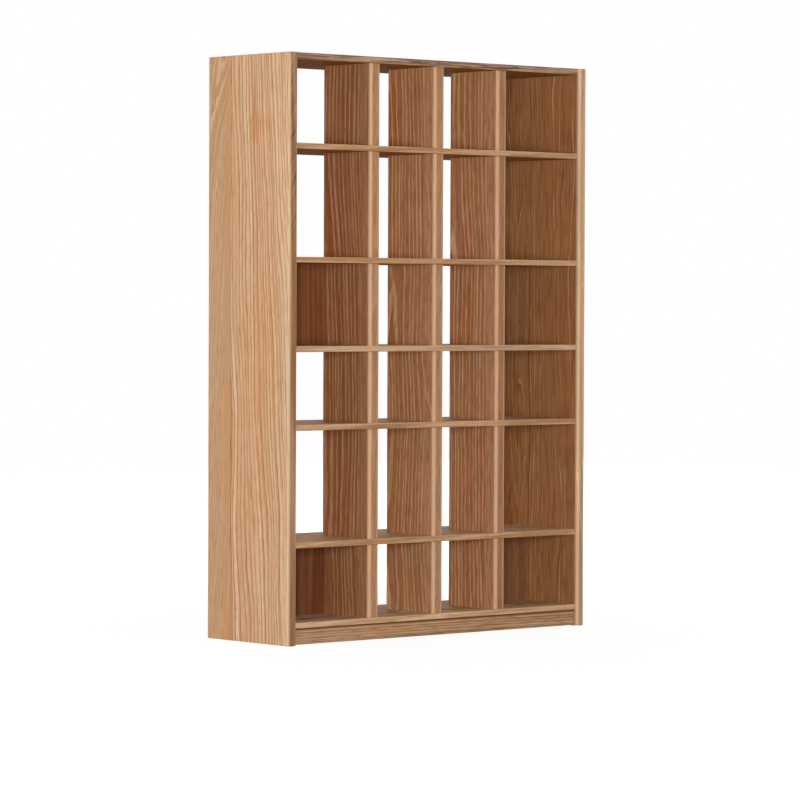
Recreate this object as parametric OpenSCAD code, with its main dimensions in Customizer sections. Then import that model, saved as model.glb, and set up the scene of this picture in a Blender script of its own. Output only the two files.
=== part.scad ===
// Tall open bookcase in solid oak: two deep sides, a top, five shelves and a bottom shelf
// between them, and short dividers dowelled between the shelves. The outer columns of two
// rows are closed at the back by panels. Millimetres, +Z up, front towards -Y.
// The origin is the middle of the footprint, on the floor.

/* [Columns] */
// Clear width of the left and right columns
outer_col_w = 370; // [250:5:600]
// Clear width of the two middle columns
inner_col_w = 275; // [200:5:500]
/* [Rows] */
// Clear height of the top row
row_1_h = 310; // [180:5:500]
// Clear height of the second row
row_2_h = 400; // [180:5:500]
// Clear height of the third row, closed at the back in its outer columns
row_3_h = 310; // [180:5:500]
// Clear height of the fourth row
row_4_h = 270; // [180:5:500]
// Clear height of the fifth row
row_5_h = 415; // [180:5:500]
// Clear height of the bottom row, closed at the back in its outer columns
row_6_h = 276; // [180:5:500]
/* [Sides] */
// Thickness of the sides
side_t = 40; // [32:1:60]
// Depth of the wide front plank of each side
front_plank_d = 344; // [320:2:450]
// Depth of the narrow plank glued behind it
rear_plank_d = 136; // [90:2:200]
// Radius on the front corners of the sides and dividers
upright_r = 10; // [1:0.5:14]
// Radius on the rear corners of the sides
rear_r = 3; // [0.5:0.5:8]
/* [Shelves] */
// Thickness of the top
top_t = 24; // [20:1:40]
// Thickness of the five shelves
shelf_t = 22; // [18:1:40]
// Thickness of the bottom shelf
bottom_t = 22; // [20:1:40]
// Distance of the shelves' front edges behind the front of the sides
shelf_set = 10; // [0:1:20]
// Distance of the shelves' rear edges in from the back of the sides
shelf_rear_set = 4; // [0:1:20]
// Radius on the long edges of the shelves
shelf_r = 2; // [0.5:0.5:6]
/* [Dividers] */
// Thickness of the dividers
divider_t = 50; // [36:1:70]
// Depth of the dividers
divider_d = 270; // [200:5:290]
// Distance of the dividers behind the shelves' front edges
divider_set = 10; // [2:1:15]
/* [Back panels] */
// Thickness of the back panels
panel_t = 12; // [8:1:18]
// Depth of the groove in the side that holds one edge of a panel
panel_groove = 8; // [4:1:12]
// Width of the rebate in the divider that the other edge lies in
panel_rebate = 22; // [16:1:24]
// Play round a back panel
panel_play = 0.5; // [0.2:0.1:0.8]
/* [Plinth] */
// Height of the plinth board
plinth_h = 60; // [40:1:120]
// Thickness of the plinth board
plinth_t = 22; // [18:1:30]
// Distance of the plinth behind the shelves' front edges
plinth_set = 4; // [2:1:60]
// Gap between the plinth and the floor
plinth_lift = 3; // [1:0.5:10]
/* [Dowels and screws] */
// Diameter of all the dowels
dowel_d = 10; // [6:1:12]
// Length of the dowels in the shelf ends and in the seams of the sides
side_dowel_l = 56; // [40:2:60]
// Length of each dowel that stands in a side or in a seam plank
side_dowel_in = 26; // [14:1:28]
// Length of dowel that stands in the end of a divider or in the plinth
divider_dowel_in = 30; // [15:1:38]
// Length of dowel that stands in the top or in the bottom shelf
blind_dowel_in = 14; // [8:1:16]
// Distance of the outermost dowels from the end of the joint
dowel_inset = 50; // [30:1:70]
// Radial play round a dowel or a screw
joint_fit = 0.1; // [0.05:0.01:0.3]
// Spare depth of a blind hole past its dowel or screw
hole_spare = 0.5; // [0.2:0.1:0.9]
// Chamfer on the ends of the dowels
dowel_chamfer = 1; // [0.5:0.1:1.5]
// Diameter of the screws in the back panels
screw_d = 4; // [3:0.5:5]
// Length of the screws in the back panels
screw_l = 35; // [25:1:45]
// Diameter of the screw heads
screw_head_d = 8; // [6:0.5:9]
// Distance of the outer screws from the ends of a back panel
panel_screw_inset = 45; // [20:1:80]
/* [Hidden] */
$fn = 48;
panel_rows = [3, 6];
row_h = [row_1_h, row_2_h, row_3_h, row_4_h, row_5_h, row_6_h];
col_w = [outer_col_w, inner_col_w, inner_col_w, outer_col_w];
divider_names = ["left", "middle", "right"];
overcut = 1;

// Running total of the first n values of a list
function sum_first(list, n) = n <= 0 ? 0 : list[n - 1] + sum_first(list, n - 1);

inside_w = sum_first(col_w, len(col_w)) + (len(col_w) - 1) * divider_t;
unit_w = inside_w + 2 * side_t;
unit_d = front_plank_d + rear_plank_d;
bottom_z = plinth_lift + plinth_h + bottom_t;

// Top of the board that carries row r, counted from the top row
function row_z(r) = r == len(row_h) ? bottom_z : row_z(r + 1) + row_h[r] + shelf_t;
unit_h = row_z(1) + row_h[0] + top_t;

front_y = -unit_d / 2;
seam_y = front_y + front_plank_d;
shelf_y = front_y + shelf_set;
shelf_d = unit_d - shelf_set - shelf_rear_set;
divider_y = shelf_y + divider_set;
divider_rear_y = divider_y + divider_d;
panel_y = divider_rear_y - panel_t;
plinth_y = shelf_y + plinth_set;
inside_x = inside_w / 2;

// Left face of divider c, counted from the left
function divider_x(c) = -inside_x + sum_first(col_w, c) + (c - 1) * divider_t;
function divider_mid_x(c) = divider_x(c) + divider_t / 2;
function divider_name(r, c) = str("divider_row_", r, "_", divider_names[c - 1]);

// Places of the dowels along the depth of a shelf end: three in the front plank, one in the rear
end_dowel_ys = [
    shelf_y + dowel_inset,
    (shelf_y + dowel_inset + seam_y - dowel_inset) / 2,
    seam_y - dowel_inset,
    (seam_y + shelf_y + shelf_d) / 2
];
// Middle heights of the boards whose ends meet the sides
board_mid_zs = concat(
    [unit_h - top_t / 2],
    [for (r = [1:len(row_h) - 1]) row_z(r) - shelf_t / 2],
    [bottom_z - bottom_t / 2]
);
divider_dowel_ys = [divider_y + dowel_inset, divider_rear_y - dowel_inset];
seam_dowel_zs = [for (r = [1:len(row_h)]) row_z(r) + row_h[r - 1] / 2];
plinth_dowel_zs = [for (s = [-1, 1]) plinth_lift + plinth_h / 2 + s * plinth_h / 4];
plinth_mid_y = plinth_y + plinth_t / 2;
plinth_dowel_xs = [for (c = [1:len(col_w)]) (c == 1 ? -inside_x : divider_x(c - 1) + divider_t) + col_w[c - 1] / 2];

shelf_dowel_l = shelf_t + 2 * divider_dowel_in;
blind_dowel_l = blind_dowel_in + divider_dowel_in;

oak = "#c98f4e";
oak_light = "#d5a05f";
oak_dark = "#a8713a";
oak_back = "#7d4526";
beech = "#dcb98a";
zinc = "#b9b9b4";

// The corner that a rounding of radius r takes off, at the origin, opening towards +X and +Y
module corner_waste(r) {
    difference() {
        translate([-overcut, -overcut]) square(r + overcut);
        translate([r, r]) circle(r);
    }
}

// Section of a board: w across, d deep, rounded at its front corners and at its rear corners
module board_section(w, d, r_front, r_rear) {
    difference() {
        square([w, d]);
        if (r_front > 0) {
            corner_waste(r_front);
            translate([w, 0]) mirror([1, 0]) corner_waste(r_front);
        }
        if (r_rear > 0) {
            translate([0, d]) mirror([0, 1]) corner_waste(r_rear);
            translate([w, d]) mirror([1, 0]) mirror([0, 1]) corner_waste(r_rear);
        }
    }
}

// Board that lies flat between the sides, with its top face at z_top
module flat_board(y, d, z_top, t) {
    translate([-inside_x, y, z_top])
        rotate([0, 90, 0]) linear_extrude(inside_w) board_section(t, d, shelf_r, shelf_r);
}

// Cylinder from a point along an axis: dir is a rotation that turns +Z to that axis
module bore(at, dir, depth, d) {
    translate(at) rotate(dir) cylinder(h = depth, d = d);
}

along_x = [0, 90, 0];
along_y = [-90, 0, 0];
along_z = [0, 0, 0];
hole_d = dowel_d + 2 * joint_fit;

// Dowel with chamfered ends, centred on a point
module dowel(at, dir, l) {
    r = dowel_d / 2;
    translate(at) rotate(dir) translate([0, 0, -l / 2]) rotate_extrude()
        polygon([[0, 0], [r - dowel_chamfer, 0], [r, dowel_chamfer], [r, l - dowel_chamfer],
            [r - dowel_chamfer, l], [0, l]]);
}

// Holes in the left side for the dowels of every board end and of the plinth
module left_side_holes() {
    depth = side_dowel_in + hole_spare;
    for (z = board_mid_zs, y = end_dowel_ys)
        bore([-inside_x - depth, y, z], along_x, depth + overcut, hole_d);
    for (z = plinth_dowel_zs)
        bore([-inside_x - depth, plinth_mid_y, z], along_x, depth + overcut, hole_d);
}

// Holes across the glued seam of the left side
module left_seam_holes() {
    l = side_dowel_l + 2 * hole_spare;
    for (z = seam_dowel_zs)
        bore([-inside_x - side_t / 2, seam_y - side_dowel_l / 2 - hole_spare, z], along_y, l, hole_d);
}

module left_panel_grooves() {
    for (r = panel_rows)
        translate([-inside_x - panel_groove, panel_y - panel_play / 2, row_z(r)])
            cube([panel_groove + overcut, panel_t + panel_play, row_h[r - 1]]);
}

module left_front_plank() {
    difference() {
        translate([-unit_w / 2, front_y, 0])
            linear_extrude(unit_h) board_section(side_t, front_plank_d, upright_r, 0);
        left_side_holes();
        left_seam_holes();
        left_panel_grooves();
    }
}

module left_rear_plank() {
    difference() {
        translate([-unit_w / 2, seam_y, 0])
            linear_extrude(unit_h) board_section(side_t, rear_plank_d, 0, rear_r);
        left_side_holes();
        left_seam_holes();
        left_panel_grooves();
    }
}

module side_left_front_plank() { color(oak_light) left_front_plank(); }
module side_left_rear_plank() { color(oak) left_rear_plank(); }
module side_right_front_plank() { color(oak_dark) mirror([1, 0, 0]) left_front_plank(); }
module side_right_rear_plank() { color(oak_dark) mirror([1, 0, 0]) left_rear_plank(); }

// Dowel holes in both ends of a flat board whose middle height is z
module board_end_holes(z) {
    depth = side_dowel_l - side_dowel_in + hole_spare;
    for (y = end_dowel_ys, s = [0, 1])
        mirror([s, 0, 0]) bore([-inside_x - overcut, y, z], along_x, depth + overcut, hole_d);
}

// Dowel holes for the dividers, from height z upwards
module divider_dowel_holes(z, depth) {
    for (c = [1:len(col_w) - 1], y = divider_dowel_ys)
        bore([divider_mid_x(c), y, z], along_z, depth, hole_d);
}

module top_board() {
    depth = blind_dowel_in + hole_spare;
    color(oak_dark) difference() {
        flat_board(shelf_y, shelf_d, unit_h, top_t);
        board_end_holes(unit_h - top_t / 2);
        divider_dowel_holes(unit_h - top_t - overcut, depth + overcut);
    }
}

// Shelf under row r
module shelf(r) {
    color(oak) difference() {
        flat_board(shelf_y, shelf_d, row_z(r), shelf_t);
        board_end_holes(row_z(r) - shelf_t / 2);
        divider_dowel_holes(row_z(r) - shelf_t - overcut, shelf_t + 2 * overcut);
    }
}

module bottom_shelf() {
    depth = blind_dowel_in + hole_spare;
    color(oak) difference() {
        flat_board(shelf_y, shelf_d, bottom_z, bottom_t);
        board_end_holes(bottom_z - bottom_t / 2);
        divider_dowel_holes(bottom_z - depth, depth + overcut);
        for (x = plinth_dowel_xs)
            bore([x, plinth_mid_y, bottom_z - bottom_t - overcut], along_z, depth + overcut, hole_d);
    }
}

module plinth() {
    end_depth = side_dowel_l - side_dowel_in + hole_spare;
    top_depth = divider_dowel_in + hole_spare;
    color(oak_dark) difference() {
        translate([-inside_x, plinth_y, plinth_lift]) cube([inside_w, plinth_t, plinth_h]);
        for (z = plinth_dowel_zs, s = [0, 1])
            mirror([s, 0, 0])
                bore([-inside_x - overcut, plinth_mid_y, z], along_x, end_depth + overcut, hole_d);
        for (x = plinth_dowel_xs)
            bore([x, plinth_mid_y, plinth_lift + plinth_h - top_depth], along_z,
                top_depth + overcut, hole_d);
    }
}

// A divider stands beside a back panel in the panel rows, on its left or on its right
function has_panel(r) = len(search(r, panel_rows)) > 0;
panel_screw_x = divider_x(1) + panel_rebate / 2;
head_h = (screw_head_d - screw_d) / 2;
function panel_screw_zs(r) =
    [for (k = [-1, 0, 1]) row_z(r) + row_h[r - 1] / 2 + k * (row_h[r - 1] / 2 - panel_screw_inset)];

// Rebate and pilot holes for the left back panel of row r
module left_rebate(r) {
    x = divider_x(1);
    translate([x - overcut, panel_y - panel_play / 2, row_z(r) - overcut])
        cube([panel_rebate + overcut, panel_t + overcut, row_h[r - 1] + 2 * overcut]);
    for (z = panel_screw_zs(r))
        bore([panel_screw_x, divider_rear_y - screw_l - hole_spare, z], along_y, screw_l,
            screw_d + 2 * joint_fit);
}

module divider(r, c) {
    depth = divider_dowel_in + hole_spare;
    color(oak) difference() {
        translate([divider_x(c), divider_y, row_z(r)])
            linear_extrude(row_h[r - 1]) board_section(divider_t, divider_d, upright_r, 0);
        divider_dowel_holes(row_z(r) - overcut, depth + overcut);
        divider_dowel_holes(row_z(r) + row_h[r - 1] - depth, depth + overcut);
        if (has_panel(r) && c == 1) left_rebate(r);
        if (has_panel(r) && c == len(col_w) - 1) mirror([1, 0, 0]) left_rebate(r);
    }
}

// Countersunk screw, pointing forward, with its head flush with the rear of the panel
module panel_screw(z) {
    r = screw_d / 2;
    translate([panel_screw_x, divider_rear_y, z]) rotate([90, 0, 0]) rotate_extrude()
        polygon([[0, 0], [screw_head_d / 2, 0], [r, head_h], [r, screw_l - r], [0, screw_l]]);
}

module left_back_panel(r) {
    x = -inside_x - panel_groove + panel_play;
    w = outer_col_w + panel_groove + panel_rebate - 2 * panel_play;
    color(oak_back) difference() {
        translate([x, panel_y, row_z(r)]) cube([w, panel_t, row_h[r - 1] - panel_play]);
        for (z = panel_screw_zs(r)) {
            bore([panel_screw_x, panel_y - overcut, z], along_y, panel_t + 2 * overcut,
                screw_d + 2 * joint_fit);
            translate([panel_screw_x, divider_rear_y + joint_fit, z]) rotate([90, 0, 0])
                cylinder(h = head_h + 2 * joint_fit, d1 = screw_head_d + 2 * joint_fit, d2 = screw_d);
        }
    }
}

module right_back_panel(r) { mirror([1, 0, 0]) left_back_panel(r); }

// Dowels that join the shelf ends and the plinth to both sides
module side_dowels() {
    x = inside_x + side_dowel_in - side_dowel_l / 2;
    color(beech) for (s = [-1, 1]) {
        for (z = board_mid_zs, y = end_dowel_ys) dowel([s * x, y, z], along_x, side_dowel_l);
        for (z = plinth_dowel_zs) dowel([s * x, plinth_mid_y, z], along_x, side_dowel_l);
    }
}

// Dowels across the seams between the planks of the sides
module seam_dowels() {
    color(beech) for (s = [-1, 1], z = seam_dowel_zs)
        dowel([s * (inside_x + side_t / 2), seam_y, z], along_y, side_dowel_l);
}

// Dowels that pass through a shelf into the dividers above and below it
module shelf_dowels() {
    color(beech) for (r = [1:len(row_h) - 1], c = [1:len(col_w) - 1], y = divider_dowel_ys)
        dowel([divider_mid_x(c), y, row_z(r) - shelf_t / 2], along_z, shelf_dowel_l);
}

// Dowels in the top, in the bottom shelf and between the bottom shelf and the plinth
module blind_dowels() {
    offset_z = blind_dowel_in - blind_dowel_l / 2;
    color(beech) {
        for (c = [1:len(col_w) - 1], y = divider_dowel_ys) {
            dowel([divider_mid_x(c), y, unit_h - top_t + offset_z], along_z, blind_dowel_l);
            dowel([divider_mid_x(c), y, bottom_z - offset_z], along_z, blind_dowel_l);
        }
        for (x = plinth_dowel_xs)
            dowel([x, plinth_mid_y, bottom_z - bottom_t + offset_z], along_z, blind_dowel_l);
    }
}

module panel_screws() {
    color(zinc) for (r = panel_rows, z = panel_screw_zs(r), s = [0, 1])
        mirror([s, 0, 0]) panel_screw(z);
}

side_left_front_plank();
side_left_rear_plank();
side_right_front_plank();
side_right_rear_plank();
top_board();
for (r = [1:len(row_h) - 1]) shelf(r);
bottom_shelf();
plinth();
for (r = [1:len(row_h)], c = [1:len(col_w) - 1]) divider(r, c);
for (r = panel_rows) left_back_panel(r);
for (r = panel_rows) right_back_panel(r);
side_dowels();
seam_dowels();
shelf_dowels();
blind_dowels();
panel_screws();
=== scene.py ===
import bpy
import bmesh
import math
import random
from mathutils import Matrix, Vector


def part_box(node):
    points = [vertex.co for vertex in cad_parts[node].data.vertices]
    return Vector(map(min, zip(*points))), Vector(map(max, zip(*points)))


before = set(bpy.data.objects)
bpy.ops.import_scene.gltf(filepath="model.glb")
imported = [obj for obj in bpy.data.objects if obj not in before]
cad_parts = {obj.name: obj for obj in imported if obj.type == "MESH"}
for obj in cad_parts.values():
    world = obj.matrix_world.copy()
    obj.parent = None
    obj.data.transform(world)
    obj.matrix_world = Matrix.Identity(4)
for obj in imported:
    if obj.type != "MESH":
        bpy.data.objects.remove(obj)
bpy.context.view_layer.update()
print("loaded", len(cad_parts), "boards and fittings")


def tone(colour):
    # 0-255 screen values to the linear ones that sockets take
    def linear(value):
        value /= 255
        return value / 12.92 if value <= 0.04045 else ((value + 0.055) / 1.055) ** 2.4
    return (*(linear(value) for value in colour), 1)


class Field:
    # One output socket, so that 1 - mask or a * b adds its Math nodes
    def __init__(self, socket):
        self.socket = socket

    def calc(self, operation, *values):
        node = self.socket.id_data.nodes.new("ShaderNodeMath")
        node.operation = operation
        for slot, value in zip(node.inputs, values):
            if isinstance(value, Field):
                node.id_data.links.new(value.socket, slot)
            else:
                slot.default_value = value
        return Field(node.outputs[0])

    def __add__(self, other):
        return self.calc("ADD", self, other)

    def __sub__(self, other):
        return self.calc("SUBTRACT", self, other)

    def __rsub__(self, other):
        return self.calc("SUBTRACT", other, self)

    def __mul__(self, other):
        return self.calc("MULTIPLY", self, other)

    def __truediv__(self, other):
        return self.calc("DIVIDE", self, other)

    __radd__ = __add__
    __rmul__ = __mul__


class Shader:
    def __init__(self, owner):             # a new material, or the world
        owner.use_nodes = True
        self.owner = owner
        self.tree = owner.node_tree
        self.tree.nodes.clear()

    def node(self, kind, settings=None, sockets=None, output=0):
        made = self.tree.nodes.new(kind)
        for key, value in (settings or {}).items():
            setattr(made, key, value)
        for key, value in (sockets or {}).items():
            if isinstance(value, Field):
                self.tree.links.new(value.socket, made.inputs[key])
            else:
                made.inputs[key].default_value = value
        return Field(made.outputs[output]) if made.outputs else None

    def mix(self, factor, first, second):
        return self.node("ShaderNodeMix", {"data_type": "RGBA"}, {0: factor, 6: first, 7: second}, 2)

    def vector(self, operation, first, second, output=0):
        return self.node("ShaderNodeVectorMath", {"operation": operation}, {0: first, 1: second}, output)

    def length(self, place):
        return self.vector("LENGTH", place, (0, 0, 0), "Value")

    def noise(self, place, scale, detail, output=0):
        return self.node("ShaderNodeTexNoise", {}, {"Vector": place, "Scale": scale, "Detail": detail},
                         output)

    def step(self, value, start, end):
        # 0 before start, 1 past end, smooth between them. Start may be the greater one
        return self.node("ShaderNodeMapRange", {"interpolation_type": "SMOOTHSTEP"},
                         {"Value": value, "From Min": start, "From Max": end})

    def marks(self, place, scale, start, end, detail):
        # where a noise is high: 0 below start, 1 above end
        return self.step(self.noise(place, scale, detail), start, end)

    def finish(self, surface, kind="ShaderNodeOutputMaterial"):
        self.node(kind, {}, {"Surface": surface})
        return self.owner


# A board's axes by how it lies: across its width, through it, along its grain
boardAxes = {
    "upright": ((0, 1, 0), (-1, 0, 0), (0, 0, 1)),
    "flat": ((0, 1, 0), (0, 0, 1), (1, 0, 0)),
    "skirting": ((0, 0, 1), (0, -1, 0), (1, 0, 0)),
    "panel": ((1, 0, 0), (0, 1, 0), (0, 0, 1)),
}

# How wood looks, unless a board's own dictionary says otherwise. Colours are 0-255 screen values, lengths
# are metres, and marks are (scale per metre, noise value where they start, where they are full, detail)
grain = {
    "ring": 0.022,                         # width of a year's ring
    "widthSpread": 1.5,                    # how much the widths differ, in rings
    "widthPace": 0.45,                     # how fast they change, per ring
    "share": 0.7,                          # part of a ring that is its darker wood
    "shareSpread": 0.36,                   # how much that differs from ring to ring
    "rise": 0.2,                           # part of a ring over which the darker wood starts
    "fall": 0.07,                          # and over which it ends
    "faint": 0.4,                          # strength of the faintest pale line between rings
    "veins": 0.3,                          # strength of the dark line where the darker wood ends
    "patchVeins": 0.4,                     # and what warm patches add to it
    "veinReach": (0.13, 0.03),             # where it starts and is full, before that end
    "veinMarks": (21, 0.26, 0.52, 2),      # where it isn't broken
    "sparse": 0,                           # part of the rings without it
    "sparseFade": 0.2,
    "bends": (1.7, 6.0, 38.0),             # of the rings, per metre: long, short and ragged. sway is how far
    "drawn": 0.22,                         # marks are longer along the grain by 1 over this
    "fineDrawn": 0.04,
    "scarDrawn": 0.03,
    "fibreDrawn": 0.12,
    "blotch": 0.3,                         # strength of warm patches
    "blotchPale": 0.3,                     # part of it that paler wood takes
    "patchMarks": (3.6, 0.48, 0.70, 2),
    "calmStrength": 0.75,                  # of the plainer strip beside the front edge
    "calmFade": 0.25,                      # how far past its reach it ends, as part of it
    "fibre": 0.36,                         # strength of dark fibres
    "fibreNoise": (130, 4),                # scale and detail
    "fibreMarks": (0.40, 0.72),
    "fineRings": 0.20,                     # strength of thin lines inside the rings
    "finePerRing": 4.37,
    "fineRise": (0.3, 0.8),                # where in its own width such a line gets full
    "fineFall": (1.0, 0.85),               # and where it ends, and was still full
    "pores": 0.30,
    "poreMarks": (1100, 0.58, 0.70, 1),
    "streaks": 0.35,                       # strength of broad pale streaks
    "streakMarks": (34, 0.42, 0.70, 3),
    "scars": 0.55,                         # strength of the sparse dark strokes
    "scarMarks": (90, 0.66, 0.74, 2),
    "edgeReach": (0.0065, 0.0025),         # how far the front edge's cut reaches: at most, and in full
    "strokeMarks": (1.0, 0.50, 0.62, 2),   # on it, by the stroke's own size
    "underReach": (0.0022, 0.0006),        # the same for the painted shade on a lower face
    "fullPart": 0.4,                       # of a painted highlight or painted shade strip
    "relief": {"fibre": 0.4, "pore": 0.6, "late": 0.25},
    "bump": 0.22,
    "bumpDepth": 0.0006,
    "rough": 0.7,
    "roughened": {"fibre": 0.12, "pore": 0.15},
    "specular": 0.03,
}


def trunkPlace(node, look):
    # Where a board lay in its tree, whose pith is the Z axis. pith is (across, through) from the board's
    # middle, lean is in degrees, and shift is its height in the tree
    low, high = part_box(node)
    across, through, along = boardAxes[look["lay"]]
    leanAcross, leanThrough = (math.radians(angle) for angle in look["lean"])
    tilt = Matrix.Rotation(leanThrough, 3, "X") @ Matrix.Rotation(leanAcross, 3, "Y")
    turn = tilt @ Matrix((across, through, along))
    return Vector((*look["pith"], look["shift"])) - turn @ ((low + high) / 2), turn.to_euler("XYZ")


class Board(Shader):
    # The wood of one board, with the places that all its marks share
    def __init__(self, name, node, look):
        super().__init__(bpy.data.materials.new(name))
        self.look = {**grain, **look}
        self.low, self.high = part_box(node)
        self.place = self.node("ShaderNodeTexCoord", output="Object")
        self.wide, self.depth, self.level = (
            self.node("ShaderNodeSeparateXYZ", {}, {0: self.place}, axis) for axis in "XYZ")
        location, rotation = trunkPlace(node, self.look)
        self.trunk = self.node("ShaderNodeMapping", {},
                               {"Vector": self.place, "Location": location, "Rotation": rotation})
        self.drawn = self.along(self.trunk, self.look["drawn"])
        self.fine = self.along(self.trunk, self.look["fineDrawn"])

    def along(self, place, share):
        # a place in which marks are stretched along the grain
        return self.vector("MULTIPLY", place, (1, 1, share))

    def bend(self):
        bent = self.trunk
        for scale, reach in zip(self.look["bends"], self.look["sway"]):
            sway = self.vector("SUBTRACT", self.noise(self.drawn, scale, 1, "Color"), (0.5, 0.5, 0.5))
            bent = self.vector("ADD", bent, self.vector("MULTIPLY", sway, (reach, reach, 0)))
        if "crook" in self.look:           # the tree leaned here: its rings swing aside above a height
            start, swing = self.look["crook"]
            above = self.level.calc("MAXIMUM", self.level - start, 0)
            aside = self.node("ShaderNodeCombineXYZ", {}, {0: above * above * swing})
            bent = self.vector("ADD", bent, aside)
        return bent

    def countRings(self, bent):
        radius = self.length(self.along(bent, 0))   # distance from the pith
        if "taper" in self.look:           # a trunk gets thinner upwards, so its rings close in
            radius = radius * (self.level * self.look["taper"] + 1)
        rings = radius / self.look["ring"]
        pace = self.node("ShaderNodeTexNoise", {"noise_dimensions": "1D"},
                         {"W": rings, "Scale": self.look["widthPace"], "Detail": 1})
        return rings + pace * self.look["widthSpread"]

    def splitRings(self, rings):
        # Darker wood, the vein at its end, and warm patches
        look = self.look
        number = rings.calc("FLOOR", rings)
        age = rings - number               # 0 where a ring starts, 1 where it ends
        chance = self.node("ShaderNodeTexWhiteNoise", {"noise_dimensions": "1D"}, {"W": number})
        luck = self.node("ShaderNodeTexWhiteNoise", {"noise_dimensions": "1D"}, {"W": number + 0.5})
        share = (luck - 0.5) * look["shareSpread"] + look["share"]
        before = self.step(age, share + look["fall"], share)
        pale = 1 - self.step(age, 0, look["rise"]) * before
        pale = pale * (chance * (1 - look["faint"]) + look["faint"])
        patch = self.marks(self.drawn, *look["patchMarks"])
        if "calm" in look:                 # plainer wood beside the front edge
            reach, paleness = look["calm"]
            end = self.low.y + reach * (1 + look["calmFade"])
            plain = self.step(self.depth, end, self.low.y + reach) * look["calmStrength"]
            pale = pale * (1 - plain) + plain * paleness
            patch = patch * (1 - plain)
        if "stronger" in look:             # contrast that changes between two heights
            start, end, weak, strong = look["stronger"]
            pale = (pale - 0.5) * (self.step(self.level, start, end) * (strong - weak) + weak) + 0.5
        start, full = look["veinReach"]
        vein = self.step(age, share - start, share - full) * before
        unbroken = self.marks(self.fine, *look["veinMarks"])
        vein = vein * unbroken * (patch * look["patchVeins"] + look["veins"])
        vein = vein * self.step(chance, look["sparse"] - look["sparseFade"], look["sparse"])
        return 1 - pale, vein, patch

    def stain(self, late, pair):
        return self.mix(late, tone(pair[0]), tone(pair[1]))

    def addSpot(self, colour, late):
        # Resin round a depth and height, out to their two reaches, mostly in the darker wood
        spot = self.look["spot"]
        depth, level = spot["at"]
        depthReach, levelReach = spot["reach"]
        off = self.node("ShaderNodeCombineXYZ", {}, {0: (self.depth - depth) / depthReach,
                                                     1: (self.level - level) / levelReach})
        ragged = self.noise(self.drawn, *spot["noise"]) * spot["ragged"] - spot["ragged"] / 2
        resin = self.step(self.length(off) + ragged, *spot["ends"]) * self.step(late, *spot["late"])
        return self.mix(resin * spot["strength"], colour, tone(spot["tone"]))

    def cutFront(self, colour, late, edge):
        # The front edge is another cut of the wood, with slanting strokes
        look = self.look
        slant = self.node("ShaderNodeMapping", {"vector_type": "TEXTURE"}, {
            "Vector": self.place, "Rotation": (0, look["slant"], 0), "Scale": look["strokeSize"]})
        stroke = self.marks(slant, *look["strokeMarks"]) * look["strokes"]
        if "strokesFrom" in look:
            stroke = stroke * self.step(self.level, *look["strokesFrom"])
        cut = self.mix(stroke, self.stain(late, look["edge"]), tone(look["stroke"]))
        return self.mix(edge, colour, cut)

    def paintCornerHighlight(self, colour):
        # Painted highlight on the corners beside the front edge, where the rounded corner catches the light
        reach = self.look["arris"]
        full = reach * self.look["fullPart"]
        if self.look["lay"] == "flat":
            corner = self.step(self.level, self.high.z - reach, self.high.z - full)
        else:
            left = self.step(self.wide, self.low.x + reach, self.low.x + full)
            right = self.step(self.wide, self.high.x - reach, self.high.x - full)
            corner = left.calc("MAXIMUM", left, right)
        corner = corner * self.step(self.depth, self.low.y + reach, self.low.y + full)
        return self.mix(corner * self.look["highlightStrength"], colour, tone(self.look["highlightTone"]))

    def addBands(self, colour):
        look = self.look
        if "sapwood" in look:              # a band along the seam, wider in places
            sap = look["sapwood"]
            start, end = sap["depths"]
            wander = self.noise(self.drawn, *sap["noise"]) * sap["wander"] - sap["wander"] / 2
            across = self.depth + wander
            band = self.step(across, start, start + sap["fade"]) * self.step(across, end, end - sap["fade"])
            colour = self.mix(band * sap["strength"], colour, tone(sap["tone"]))
        if "paintedShade" in look:               # painted shade: a dark strip along the top, under the board above
            reach = look["paintedShade"]
            full = reach * look["fullPart"]
            paintedShade = self.step(self.level, self.high.z - reach, self.high.z - full)
            colour = self.mix(paintedShade, colour, tone(look["pore"]))
        if "under" in look:                # painted shade: the lower face and the lowest corner of its front edge darker
            start, end = look["underReach"]
            under = self.step(self.level, self.low.z + start, self.low.z + end)
            colour = self.mix(under, colour, tone(look["under"]))
        if "seam" in look:                 # glue line between two planks, open here and there
            seam = look["seam"]
            away = self.depth.calc("ABSOLUTE", self.depth - seam["at"])
            gap = self.marks(self.level, *seam["gapMarks"]) * seam["gaps"] + seam["glue"]
            colour = self.mix(self.step(away, *seam["reach"]) * gap, colour, tone(look["pore"]))
        return colour


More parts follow.
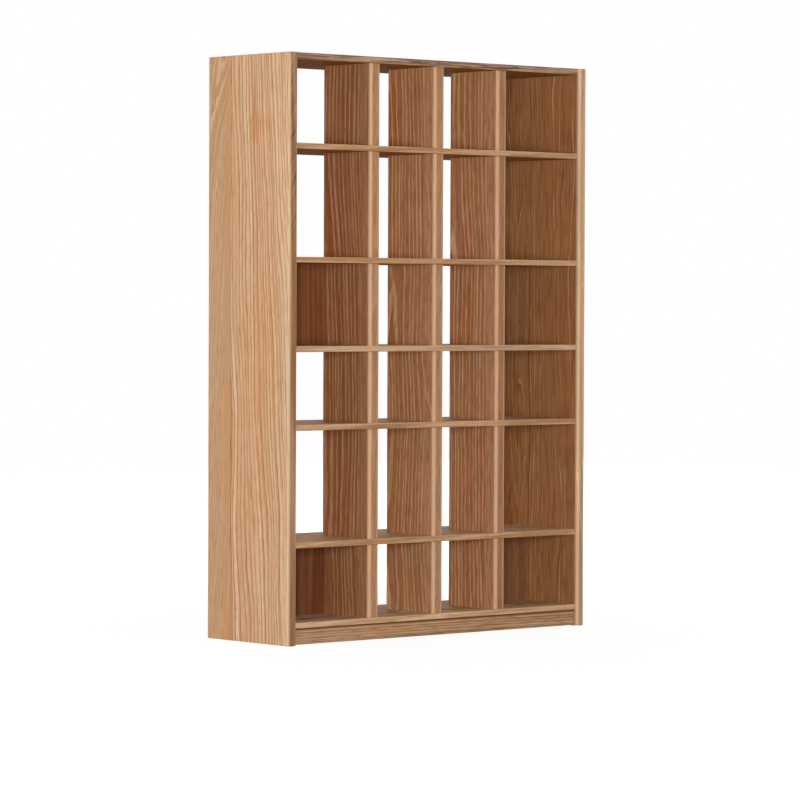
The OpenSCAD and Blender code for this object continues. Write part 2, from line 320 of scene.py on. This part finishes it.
def makeWood(name, node, look):
    s = Board(name, node, look)
    look = s.look
    bent = s.bend()
    rings = s.countRings(bent)
    late, vein, patch = s.splitRings(rings)
    colour = s.mix(vein, s.stain(late, look["face"]), tone(look["vein"]))
    takes = late * (1 - look["blotchPale"]) + look["blotchPale"]
    colour = s.mix(patch * takes * look["blotch"], colour, tone(look["warm"]))
    if "spot" in look:
        colour = s.addSpot(colour, late)
    if "edge" in look:
        start, end = look["edgeReach"]
        edge = s.step(s.depth, s.low.y + start, s.low.y + end)
        colour = s.cutFront(colour, late, edge)
    streak = s.marks(s.fine, *look["streakMarks"]) * look["streaks"]
    colour = s.mix(streak, colour, tone(look["streak"]))

    fineAge = rings.calc("FRACT", rings * look["finePerRing"])
    thin = s.step(fineAge, *look["fineRise"]) * s.step(fineAge, *look["fineFall"])
    fibre = s.noise(s.along(s.trunk, look["fibreDrawn"]), *look["fibreNoise"])
    darkFibre = s.step(fibre, *look["fibreMarks"])
    pore = s.marks(s.fine, *look["poreMarks"]) * (1 - late)
    scar = s.marks(s.along(bent, look["scarDrawn"]), *look["scarMarks"]) * look["scars"]
    shade = thin * look["fineRings"] + darkFibre * look["fibre"] + pore * look["pores"]
    shade = shade.calc("MAXIMUM", shade, scar)
    if "edge" in look:                     # the front edge is sanded smoother
        shade = shade * (1 - edge * look["sanded"])
    colour = s.mix(shade, colour, tone(look["pore"]))
    if "edge" in look:
        # painted highlight along the front corners
        colour = s.paintCornerHighlight(colour)
    colour = s.addBands(colour)

    relief, roughened = look["relief"], look["roughened"]
    height = fibre * relief["fibre"] - pore * relief["pore"] + late * relief["late"]
    rough = fibre * roughened["fibre"] + pore * roughened["pore"] + look["rough"]
    normal = s.node("ShaderNodeBump", {}, {"Height": height, "Strength": look["bump"],
                                           "Distance": look["bumpDepth"]})
    return s.finish(s.node("ShaderNodeBsdfPrincipled", {}, {
        "Base Color": colour, "Roughness": rough, "Specular IOR Level": look["specular"],
        "Normal": normal}))


def layInTree(pick, spans):
    # Pith, lean and shift of a board, drawn at random
    across = pick.uniform(*spans["across"])
    if spans["eitherSide"]:
        across *= pick.choice((-1, 1))
    through = pick.uniform(*spans["through"])
    lean = pick.uniform(*spans["leanAcross"]), pick.uniform(*spans["leanThrough"])
    return {"pith": (across, through), "lean": lean, "shift": pick.uniform(0, 20)}


def dress(node, material):
    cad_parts[node].data.materials.clear()
    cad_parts[node].data.materials.append(material)


# Sides, each of a wide front plank and a narrow rear one. The right one is seen from inside, and its darker,
# browner tones are painted shade of the cells
sides = {
    "all": {
        "lay": "upright", "rough": 0.68,
        "seam": {
            "at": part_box("side_left_front_plank")[1].y,
            "reach": (0.0034, 0.0010),     # either way: at most, and in full
            "glue": 0.35, "gaps": 0.5,     # strength of the line, and what its gaps add
            "gapMarks": (3, 0.5, 0.62, 2),
        },
    },
    "left": {
        "warm": (212, 140, 84), "streak": (214, 174, 140), "pore": (146, 92, 52), "fibre": 0.26,
    },
    "right": {
        "ring": 0.021, "rise": 0.06, "share": 0.82, "faint": 0.0, "sparse": 0.6,
        "sway": (0.07, 0.10, 0.009), "vein": (98, 50, 24), "warm": (152, 96, 54), "blotch": 0.7,
        "streak": (136, 98, 58), "streaks": 0.6, "pore": (100, 56, 28), "fibre": 0.5, "fibreDrawn": 0.07,
    },
    "planks": {
        "side_left_front_plank": {
            "pith": (-0.46, 0.16), "lean": (0.3, 1.2), "shift": 0.4, "taper": 0.13,
            "sway": (0.06, 0.062, 0.009), "ring": 0.0205, "widthSpread": 0.8, "share": 0.50,
            "faint": 0.35, "veins": 1.0, "fineRings": 0.12, "blotch": 0.5,
            "calm": (0.035, 0.7),          # reach from the front, and paleness
            "stronger": (1.3, 1.9, 1.0, 1.5),   # two heights, and the contrast at each
            "face": ((232, 202, 168), (200, 154, 112)), "vein": (160, 94, 48),
            # its front edge is painted darker than its face, as shade with the light falling from the left
            "edge": ((138, 100, 70), (116, 78, 50)), "sanded": 0.3,
            "stroke": (86, 52, 34), "strokes": 0.9, "slant": 0.42, "strokeSize": (0.007, 0.03, 0.15),
            "strokesFrom": (1.2, 1.7),     # heights between which they come in
            "highlightTone": (212, 180, 148), "arris": 0.010, "highlightStrength": 0.5,
            "spot": {                      # its depth and height, and how far it reaches along each
                "at": (-0.05, 1.925), "reach": (0.08, 0.06), "tone": (204, 136, 82), "strength": 0.6,
                "noise": (30, 3), "ragged": 1.4, "ends": (1.1, 0.5), "late": (0.1, 0.6),
            },
        },
        "side_left_rear_plank": {
            "pith": (-0.16, 0.10), "lean": (5.0, 1.5), "shift": 3.1,
            "crook": (1.55, 0.22),         # height, and swing by the square of the height above it
            "sway": (0.06, 0.045, 0.007), "ring": 0.0105, "rise": 0.4, "faint": 0.3, "veins": 0.7,
            "stronger": (1.45, 1.90, 0.7, 2.0),
            "face": ((220, 182, 146), (196, 154, 114)), "vein": (160, 120, 84),
            "sapwood": {
                "depths": (0.104, 0.150), "fade": 0.012, "tone": (196, 146, 100), "strength": 0.55,
                "noise": (9, 2), "wander": 0.03,
            },
        },
        "side_right_front_plank": {
            "pith": (-0.20, 0.09), "lean": (-1.0, 1.2), "shift": 5.6, "veins": 0.9,
            "face": ((196, 148, 108), (150, 102, 62)),
            "edge": ((212, 178, 142), (190, 150, 112)), "sanded": 0.85,
            "stroke": (176, 134, 96), "strokes": 0.7, "slant": 0.04, "strokeSize": (0.007, 0.03, 0.20),
            "highlightTone": (224, 192, 164), "arris": 0.018, "highlightStrength": 0.4,
        },
        "side_right_rear_plank": {
            "pith": (0.11, 0.12), "lean": (1.5, 2.0), "shift": 7.9, "veins": 0.6,
            "face": ((190, 142, 102), (150, 102, 62)),
        },
    },
}

for node, plank in sides["planks"].items():
    wood = sides["left"] if "left" in node else sides["right"]
    dress(node, makeWood("oak " + node, node, {**sides["all"], **wood, **plank}))
print("sides done")


# The eighteen dividers between the shelves
dividers = {
    # their sides are painted darker than their fronts, as shade inside the cells, and the left column's
    # sides darkest, as shade from the deep left side
    "columns": {                           # light and dark wood of their sides, then of their fronts
        "left": {"face": ((174, 132, 96), (130, 82, 50)), "edge": ((188, 146, 110), (156, 110, 76))},
        "middle": {"face": ((198, 154, 114), (156, 106, 68)), "edge": ((184, 144, 110), (154, 114, 80))},
        "right": {"face": ((198, 154, 114), (156, 106, 68)), "edge": ((176, 130, 98), (142, 98, 66))},
    },
    "wood": {
        "lay": "upright", "sway": (0.075, 0.036, 0.008), "ring": 0.018, "widthSpread": 1.1, "rise": 0.15,
        "share": 0.66, "faint": 0.5, "vein": (116, 62, 34), "veins": 0.4, "calm": (0.055, 0.45),
        "warm": (160, 88, 50), "blotch": 0.5, "streak": (172, 124, 92), "pore": (104, 58, 34), "fibre": 0.4,
        "slant": 0.10, "stroke": (142, 92, 60), "strokes": 0.6, "strokeSize": (0.006, 0.03, 0.10),
        "sanded": 0.5, "highlightTone": (210, 176, 144), "arris": 0.016, "highlightStrength": 0.5,
    },
    "spans": {"across": (0.10, 0.20), "eitherSide": True, "through": (0.06, 0.10),
              "leanAcross": (-4, 2), "leanThrough": (-1.5, 1.5)},
    "seed": 11,
}
pick = random.Random(dividers["seed"])

for row in range(1, 7):
    for name, column in dividers["columns"].items():
        node = f"divider_row_{row}_{name}"
        tree = layInTree(pick, dividers["spans"])
        dress(node, makeWood("oak " + node, node, {**dividers["wood"], **column, **tree}))
print("dividers done")


# Top, shelves and bottom shelf
shelves = {
    "boards": {                            # light and dark wood of their front edges
        # the top board's corner highlight tone is dark: a dark line along its top corner
        "top_board": {"edge": ((124, 92, 82), (94, 68, 58)), "highlightTone": (112, 84, 78),
                      "stroke": (182, 140, 120), "strokes": 0.8},
        "shelf_1": {"edge": ((190, 146, 108), (162, 118, 82))},
        "shelf_2": {"edge": ((190, 146, 108), (162, 118, 82))},
        "shelf_3": {"edge": ((206, 170, 140), (180, 144, 116))},
        "shelf_4": {"edge": ((188, 146, 110), (162, 118, 82))},
        "shelf_5": {"edge": ((196, 152, 114), (170, 126, 90))},
        # the bottom shelf's lower face is painted darker still, as a shadow line above the plinth
        "bottom_shelf": {"edge": ((206, 168, 130), (184, 144, 108)), "under": (88, 56, 32)},
    },
    "wood": {
        "lay": "flat", "sway": (0.05, 0.015, 0.004), "rise": 0.3, "vein": (118, 80, 50), "veins": 0.8,
        # the pale face is painted light: the tops are lighter to make up for the shade inside the cells
        "face": ((252, 214, 172), (206, 162, 118)), "warm": (200, 146, 98), "streak": (226, 190, 150),
        # the lower faces of these boards are painted darker, as shade
        "pore": (108, 82, 56), "under": (140, 94, 40),
        "slant": 1.565, "stroke": (140, 98, 68), "strokes": 0.5, "strokeSize": (0.005, 0.03, 0.14),
        "sanded": 0.4, "highlightTone": (214, 178, 142), "arris": 0.004, "highlightStrength": 0.35,
    },
    "spans": {"across": (-0.12, 0.12), "eitherSide": False, "through": (0.10, 0.16),
              "leanAcross": (-1.5, 1.5), "leanThrough": (1, 3)},
    "seed": 5,
}
pick = random.Random(shelves["seed"])

for node, board in shelves["boards"].items():
    tree = layInTree(pick, shelves["spans"])
    dress(node, makeWood("oak " + node, node, {**shelves["wood"], **tree, **board}))

plinth = {
    "lay": "skirting", "pith": (0.20, 0.03), "lean": (0.1, 0.2), "shift": 12.4,
    "sway": (0.010, 0.004, 0.0015), "ring": 0.010, "share": 0.62, "vein": (104, 66, 40), "veins": 0.9,
    "face": ((196, 160, 126), (158, 118, 84)), "warm": (186, 130, 92), "streak": (190, 150, 118),
    # depth of the painted shade along the plinth's top, under the bottom shelf
    "pore": (100, 66, 42), "paintedShade": 0.008,
}
dress("plinth", makeWood("oak plinth", "plinth", plinth))
print("shelves and plinth done")


# Back panels, darker than the other boards, each in its own tone
backPanels = {
    "faces": {                             # light and dark wood of each
        "back_panel_row_3_left": ((134, 84, 52), (110, 64, 38)),
        "back_panel_row_3_right": ((150, 106, 74), (126, 86, 56)),
        "back_panel_row_6_left": ((98, 62, 38), (80, 47, 28)),
        "back_panel_row_6_right": ((142, 98, 66), (118, 80, 52)),
    },
    "wood": {
        "lay": "panel", "sway": (0.04, 0.01, 0.003), "vein": (92, 50, 28), "warm": (140, 72, 42),
        "streak": (148, 96, 66), "pore": (86, 48, 28),
    },
    "spans": {"across": (0.15, 0.3), "eitherSide": False, "through": (0.12, 0.2),
              "leanAcross": (-1, 2), "leanThrough": (1, 3)},
    "seed": 23,
}
pick = random.Random(backPanels["seed"])

for node, face in backPanels["faces"].items():
    tree = layInTree(pick, backPanels["spans"])
    dress(node, makeWood("stained oak " + node, node, {**backPanels["wood"], "face": face, **tree}))
print("back panels done")


# Beech dowels and zinc-plated screws
dowels = {
    "light": (226, 194, 152), "dark": (204, 166, 120), "clouds": (60, 3),
    "fleck": (176, 134, 92), "fleckMarks": (900, 0.60, 0.68, 2), "flecks": 0.5,
    "rough": 0.6, "roughSpread": 0.1, "bump": 0.2, "bumpDepth": 0.0003,
}


def makeBeech():
    s = Shader(bpy.data.materials.new("beech dowels"))
    place = s.node("ShaderNodeTexCoord", output="Object")
    cloud = s.noise(place, *dowels["clouds"])
    fleck = s.marks(place, *dowels["fleckMarks"])
    colour = s.mix(cloud, tone(dowels["light"]), tone(dowels["dark"]))
    colour = s.mix(fleck * dowels["flecks"], colour, tone(dowels["fleck"]))
    normal = s.node("ShaderNodeBump", {}, {"Height": fleck, "Strength": dowels["bump"],
                                           "Distance": dowels["bumpDepth"]})
    return s.finish(s.node("ShaderNodeBsdfPrincipled", {}, {
        "Base Color": colour, "Roughness": cloud * dowels["roughSpread"] + dowels["rough"],
        "Normal": normal}))


screws = {
    "bright": (196, 196, 190), "dull": (150, 150, 146), "spangles": (420, 3),
    "rough": 0.34, "roughSpread": 0.2, "bump": 0.1, "bumpDepth": 0.0002,
}


def makeZinc():
    s = Shader(bpy.data.materials.new("zinc screws"))
    place = s.node("ShaderNodeTexCoord", output="Object")
    spangle = s.noise(place, *screws["spangles"])
    colour = s.mix(spangle, tone(screws["bright"]), tone(screws["dull"]))
    normal = s.node("ShaderNodeBump", {}, {"Height": spangle, "Strength": screws["bump"],
                                           "Distance": screws["bumpDepth"]})
    return s.finish(s.node("ShaderNodeBsdfPrincipled", {}, {
        "Base Color": colour, "Metallic": 1, "Roughness": spangle * screws["roughSpread"] + screws["rough"],
        "Normal": normal}))


beech = makeBeech()
for node in ("side_dowels", "seam_dowels", "shelf_dowels", "blind_dowels"):
    dress(node, beech)
dress("panel_screws", makeZinc())
print("dowels and screws done")


# Floor and backdrop, white to the camera and plain to the light
floor = {
    "half": 12.0, "colour": (0.6, 0.6, 0.6, 1),
    "glow": 1.3, "whiteness": 0.7,         # near the case, where its shadow shows
    "shadeReach": (1.6, 3.2),              # from its middle: where white starts to take over, and has
}
backdrop = {"white": (1, 1, 1, 1), "ambient": 0.42}


def seenDirectly(s):
    # 1 for the camera and for mirror and clear surfaces, 0 for light that falls on the case
    path = s.node("ShaderNodeLightPath", output="Is Camera Ray")
    for other in ("Is Glossy Ray", "Is Transmission Ray"):
        path = path.calc("MAXIMUM", path, s.node("ShaderNodeLightPath", output=other))
    return path


def makeFloor():
    bm = bmesh.new()
    bmesh.ops.create_grid(bm, x_segments=8, y_segments=8, size=floor["half"])
    mesh = bpy.data.meshes.new("floor")
    bm.to_mesh(mesh)
    bm.free()
    thing = bpy.data.objects.new("floor", mesh)
    bpy.context.scene.collection.objects.link(thing)
    s = Shader(bpy.data.materials.new("white floor"))
    plain = s.node("ShaderNodeBsdfDiffuse", {}, {"Color": floor["colour"]})
    white = s.node("ShaderNodeEmission", {}, {"Color": backdrop["white"], "Strength": floor["glow"]})
    away = s.step(s.length(s.node("ShaderNodeTexCoord", output="Object")), *floor["shadeReach"])
    whiteness = away * (1 - floor["whiteness"]) + floor["whiteness"]
    both = s.node("ShaderNodeMixShader", {}, {0: seenDirectly(s) * whiteness, 1: plain, 2: white})
    mesh.materials.append(s.finish(both))


def makeBackdrop():
    s = Shader(bpy.data.worlds.new("studio"))
    strength = seenDirectly(s) * (1 - backdrop["ambient"]) + backdrop["ambient"]
    air = s.node("ShaderNodeBackground", {}, {"Color": backdrop["white"], "Strength": strength})
    bpy.context.scene.world = s.finish(air, "ShaderNodeOutputWorld")


makeFloor()
makeBackdrop()
print("floor and backdrop done")

lamps = {
    "front softbox": {"at": (-8.3, -9.4, 1.3), "to": (0, 0, 1.1), "size": 2.6, "power": 1350},
    "rear softbox": {"at": (5.0, 5.5, 3.0), "to": (0, 0, 1.1), "size": 3.0, "power": 110},
}

for name, lamp in lamps.items():
    data = bpy.data.lights.new(name, "AREA")
    data.shape = "DISK"
    data.size = lamp["size"]
    data.energy = lamp["power"]
    thing = bpy.data.objects.new(name, data)
    thing.location = lamp["at"]
    thing.rotation_euler = (Vector(lamp["to"]) - Vector(lamp["at"])).to_track_quat("-Z", "Y").to_euler()
    bpy.context.scene.collection.objects.link(thing)

camera = {
    "at": (-9.8133, -11.1730, 1.2759),
    "yaw": 41.284, "pitch": -1.455, "roll": 0.225,
    "lens": 172.8, "sensor": 36, "farthest": 200,
}
data = bpy.data.cameras.new("camera")
data.lens = camera["lens"]
data.sensor_width = camera["sensor"]
data.clip_end = camera["farthest"]
view = bpy.data.objects.new("camera", data)
view.location = camera["at"]
aim = Matrix.Rotation(math.radians(-camera["yaw"]), 3, "Z")
aim = aim @ Matrix.Rotation(math.radians(90 + camera["pitch"]), 3, "X")
aim = aim @ Matrix.Rotation(math.radians(camera["roll"]), 3, "Z")
view.rotation_euler = aim.to_euler()
bpy.context.scene.collection.objects.link(view)
bpy.context.scene.camera = view
bpy.context.scene.view_settings.view_transform = "Standard"
print("lamps and camera done")
